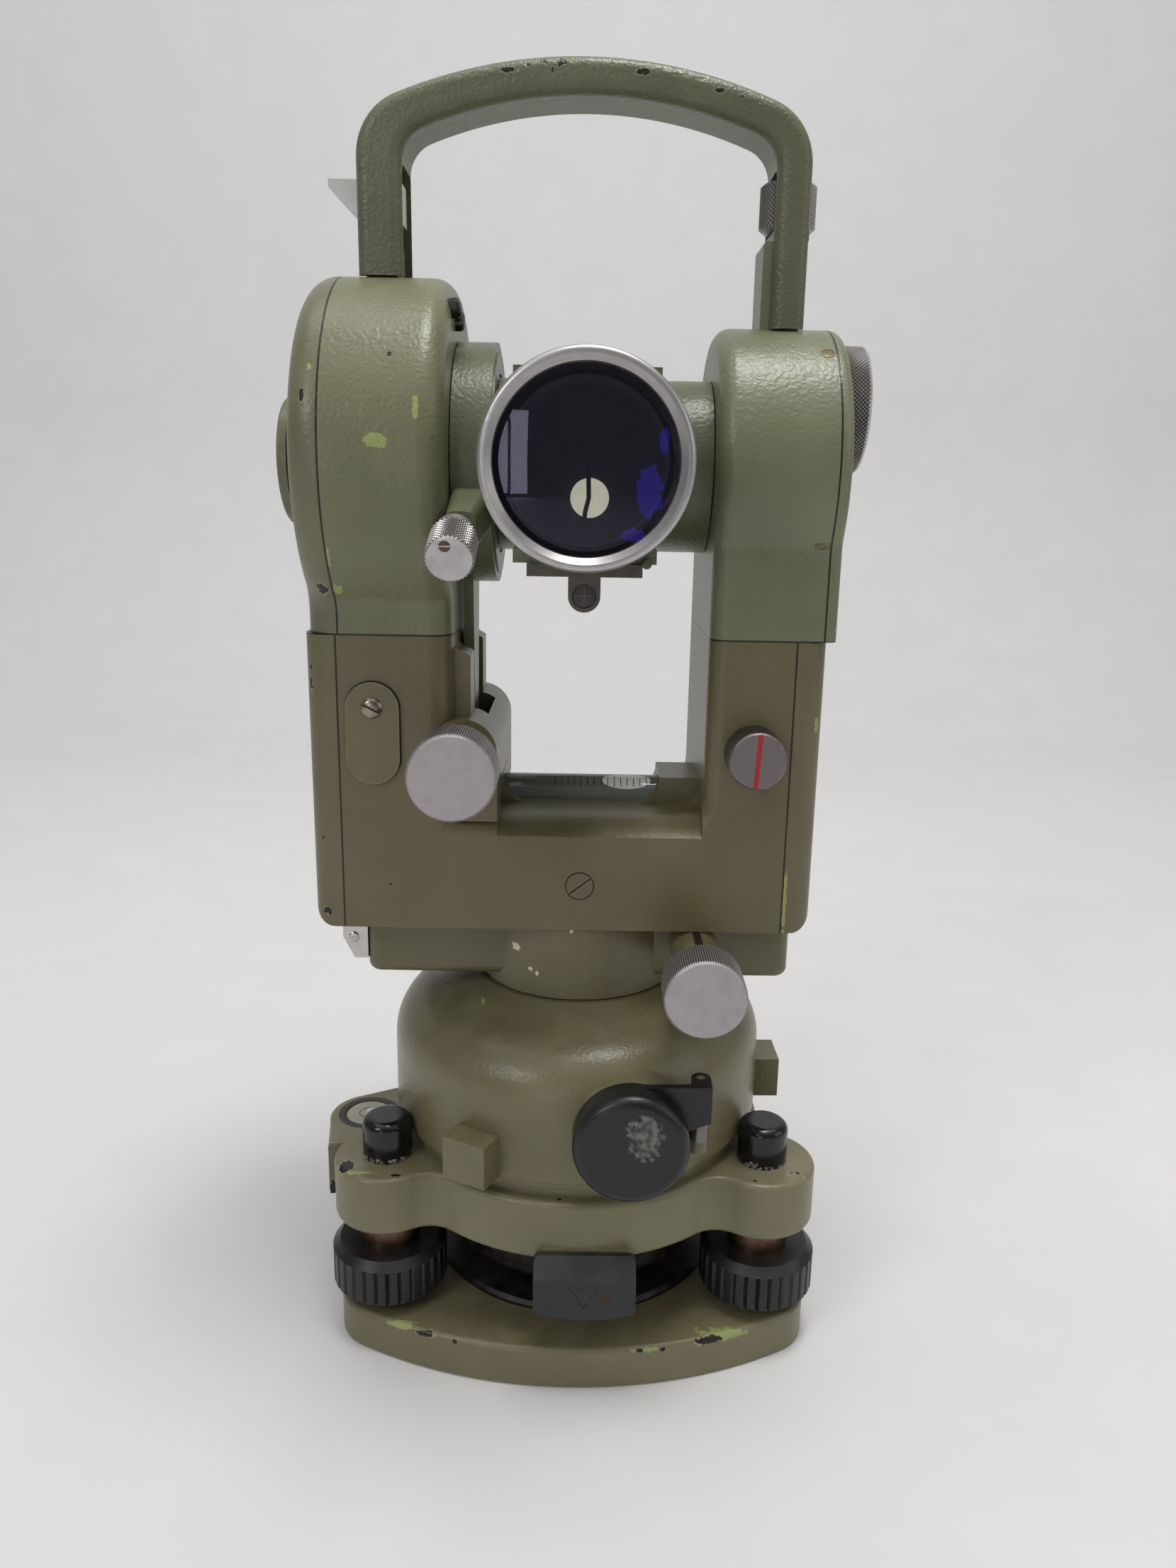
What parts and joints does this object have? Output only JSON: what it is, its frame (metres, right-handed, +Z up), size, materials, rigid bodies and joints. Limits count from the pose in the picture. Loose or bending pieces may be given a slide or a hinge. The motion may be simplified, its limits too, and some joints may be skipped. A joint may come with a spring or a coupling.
{
  "type": "theodolite",
  "caption": "Optical theodolite on a three-screw tribrach, with a transit telescope between two standards, clamps and slow-motion drives, and a lift-off handle.",
  "frame": {"origin": "underside of the base plate, on the vertical axis and in the mouth of the tripod thread", "axes": "+Z up along the vertical axis, -Y towards the operator's side that the objective faces in the picture, +X to that viewer's right, along the tilting axis"},
  "size_m": [0.1573, 0.1478, 0.3522],
  "materials": {
    "olive_paint": "stippled semi-gloss enamel",
    "green_paint": "stippled semi-gloss enamel, greener",
    "satin_aluminium": "satin, knurled at the grips",
    "bronze": "machined bronze",
    "black_plastic": "moulded, ribbed",
    "blackened_metal": "blackened",
    "bright_steel": "machined",
    "level_glass": "clear",
    "circle_glass": "ground and clear",
    "coated_lens": "coated, dark blue reflection"
  },
  "bodies": {
    "tribrach": {"base_plate": "olive_paint", "spring_plate": "blackened_metal", "under_cup": "blackened_metal", "tribrach_body": "olive_paint", "circular_level_case": "blackened_metal", "circular_level_glass": "level_glass", "footscrew_caps": "black_plastic", "centring_flange": "bright_steel", "circle_housing": "olive_paint", "axis_bush": "bright_steel", "circle_drive_seat": "blackened_metal"},
    "footscrew_front_left": {"footscrew_spindle_front_left": "bronze", "footscrew_knob_front_left": "black_plastic"},
    "footscrew_front_right": {"footscrew_spindle_front_right": "bronze", "footscrew_knob_front_right": "black_plastic"},
    "footscrew_rear": {"footscrew_spindle_rear": "bronze", "footscrew_knob_rear": "black_plastic"},
    "lock": {"lock_knob": "black_plastic"},
    "circle_cover": {"circle_drive_cover": "black_plastic"},
    "circle_knob": {"circle_drive_knob": "satin_aluminium"},
    "circle": {"circle_carrier": "blackened_metal", "horizontal_circle": "circle_glass"},
    "alidade": {"drive_housing": "olive_paint", "horizontal_clamp_ring": "bright_steel", "axis_spindle": "bright_steel", "bearing_race": "bright_steel", "horizontal_plunger": "bright_steel", "side_clip": "satin_aluminium", "alidade_frame": "olive_paint", "left_side_cover": "olive_paint", "right_side_cover": "olive_paint", "plate_level_vial": "level_glass", "oval_cover": "olive_paint", "left_upper_housing": "olive_paint", "left_upper_cover": "olive_paint", "right_upper_housing": "olive_paint", "right_upper_cover": "olive_paint", "vertical_plunger": "bright_steel"},
    "horizontal_drive": {"horizontal_drive_knob": "satin_aluminium"},
    "horizontal_clamp": {"horizontal_clamp_knob": "satin_aluminium"},
    "selector": {"selector_knob": "satin_aluminium"},
    "vertical_drive": {"vertical_drive_knob": "satin_aluminium"},
    "clamp_arm": {"vertical_clamp_arm": "green_paint"},
    "vertical_clamp": {"vertical_clamp_knob": "satin_aluminium"},
    "micrometer": {"micrometer_drum": "satin_aluminium"},
    "telescope": {"telescope_body": "green_paint", "objective_ring": "satin_aluminium", "objective_lens": "coated_lens", "trunnion_axles": "bright_steel", "vertical_circle": "circle_glass", "sights": "olive_paint"},
    "focusing": {"focusing_ring": "blackened_metal"},
    "eyepiece": {"eyepiece_ring": "blackened_metal"},
    "microscope": {"microscope_ring": "blackened_metal"},
    "mirror_turn": {"mirror_ring": "olive_paint"},
    "mirror_tilt": {"mirror_flap": "olive_paint"},
    "handle": {"handle": "olive_paint"},
    "handle_screw": {"handle_knob": "satin_aluminium"},
    "handle_lever": {"handle_lever": "satin_aluminium"}
  },
  "joints": [
    {"name": "footscrew_turn_front_left", "type": "hinge", "parent": "tribrach", "child": "footscrew_front_left", "pos_m": [-0.05499, -0.03175, 0.0125], "axis": [0, 0, 1], "continuous": true},
    {"name": "footscrew_turn_front_right", "type": "hinge", "parent": "tribrach", "child": "footscrew_front_right", "pos_m": [0.05499, -0.03175, 0.0125], "axis": [0, 0, 1], "continuous": true},
    {"name": "footscrew_turn_rear", "type": "hinge", "parent": "tribrach", "child": "footscrew_rear", "pos_m": [0, 0.0635, 0.0125], "axis": [0, 0, 1], "continuous": true},
    {"name": "lock_turn", "type": "hinge", "parent": "tribrach", "child": "lock", "pos_m": [0.0032, -0.0576, 0.0352], "axis": [0, 1, 0], "range_deg": [0, 180]},
    {"name": "circle_cover_swing", "type": "hinge", "parent": "tribrach", "child": "circle_cover", "pos_m": [0.0334, -0.0546, 0.084], "axis": [0, 0, 1], "range_deg": [0, 100]},
    {"name": "circle_turn", "type": "hinge", "parent": "tribrach", "child": "circle", "pos_m": [0, 0, 0.087], "axis": [0, 0, 1], "continuous": true},
    {"name": "circle_drive_turn", "type": "hinge", "parent": "tribrach", "child": "circle_knob", "pos_m": [0.0148, -0.058, 0.079], "axis": [0, 1, 0], "continuous": true},
    {"name": "alidade_turn", "type": "hinge", "parent": "tribrach", "child": "alidade", "pos_m": [0, 0, 0.105], "axis": [0, 0, 1], "continuous": true},
    {"name": "horizontal_drive_turn", "type": "hinge", "parent": "alidade", "child": "horizontal_drive", "pos_m": [0.033, -0.05, 0.12], "axis": [0, 1, 0], "continuous": true},
    {"name": "horizontal_clamp_turn", "type": "hinge", "parent": "alidade", "child": "horizontal_clamp", "pos_m": [-0.033, 0.026, 0.118], "axis": [0, 1, 0], "range_deg": [-90, 0]},
    {"name": "selector_turn", "type": "hinge", "parent": "alidade", "child": "selector", "pos_m": [0.0461, -0.031, 0.1785], "axis": [0, 1, 0], "range_deg": [0, 90]},
    {"name": "vertical_drive_turn", "type": "hinge", "parent": "alidade", "child": "vertical_drive", "pos_m": [-0.03205, -0.047, 0.1771], "axis": [0, 1, 0], "range_deg": [-1800, 1800]},
    {"name": "clamp_arm_swing", "type": "hinge", "parent": "alidade", "child": "clamp_arm", "pos_m": [0, 0, 0.2527], "axis": [1, 0, 0], "range_deg": [-1.45, 1.45]},
    {"name": "vertical_clamp_turn", "type": "hinge", "parent": "clamp_arm", "child": "vertical_clamp", "pos_m": [-0.032, -0.04326, 0.23566], "axis": [0, -0.9304, -0.3665], "range_deg": [0, 120]},
    {"name": "micrometer_turn", "type": "hinge", "parent": "alidade", "child": "micrometer", "pos_m": [0.067, 0, 0.2688], "axis": [1, 0, 0], "range_deg": [-120, 120]},
    {"name": "telescope_tilt", "type": "hinge", "parent": "alidade", "child": "telescope", "pos_m": [0, 0, 0.2527], "axis": [1, 0, 0], "continuous": true},
    {"name": "focusing_turn", "type": "hinge", "parent": "telescope", "child": "focusing", "pos_m": [0, 0.05, 0.2527], "axis": [0, 1, 0], "range_deg": [-120, 120]},
    {"name": "eyepiece_turn", "type": "hinge", "parent": "telescope", "child": "eyepiece", "pos_m": [0, 0.067, 0.2527], "axis": [0, 1, 0], "range_deg": [-60, 60]},
    {"name": "microscope_turn", "type": "hinge", "parent": "telescope", "child": "microscope", "pos_m": [0.0263, 0.062, 0.2527], "axis": [0, 1, 0], "range_deg": [-60, 60]},
    {"name": "mirror_turn", "type": "hinge", "parent": "alidade", "child": "mirror_turn", "pos_m": [-0.0732, 0, 0.2527], "axis": [1, 0, 0], "continuous": true},
    {"name": "mirror_tilt", "type": "hinge", "parent": "mirror_turn", "child": "mirror_tilt", "pos_m": [-0.0786, 0, 0.2371], "axis": [0, -1, 0], "range_deg": [0, 110]},
    {"name": "handle_lift", "type": "slide", "parent": "alidade", "child": "handle", "axis": [0, 0, 1], "range_m": [0, 0.025]},
    {"name": "handle_screw_turn", "type": "hinge", "parent": "handle", "child": "handle_screw", "pos_m": [0.0523, 0, 0.3134], "axis": [0, 0, 1], "continuous": true},
    {"name": "handle_lever_turn", "type": "hinge", "parent": "handle", "child": "handle_lever", "pos_m": [-0.0564, 0, 0.3186], "axis": [0, 1, 0], "range_deg": [0, 25], "stiffness_Nm_per_rad": 0.05, "springref_deg": -11.46}
  ],
  "couplings": [
    {"joint": "circle_drive_turn", "follows": "circle_turn", "ratio": 9.5},
    {"joint": "clamp_arm_swing", "follows": "vertical_drive_turn", "ratio": 0.0008}
  ]
}
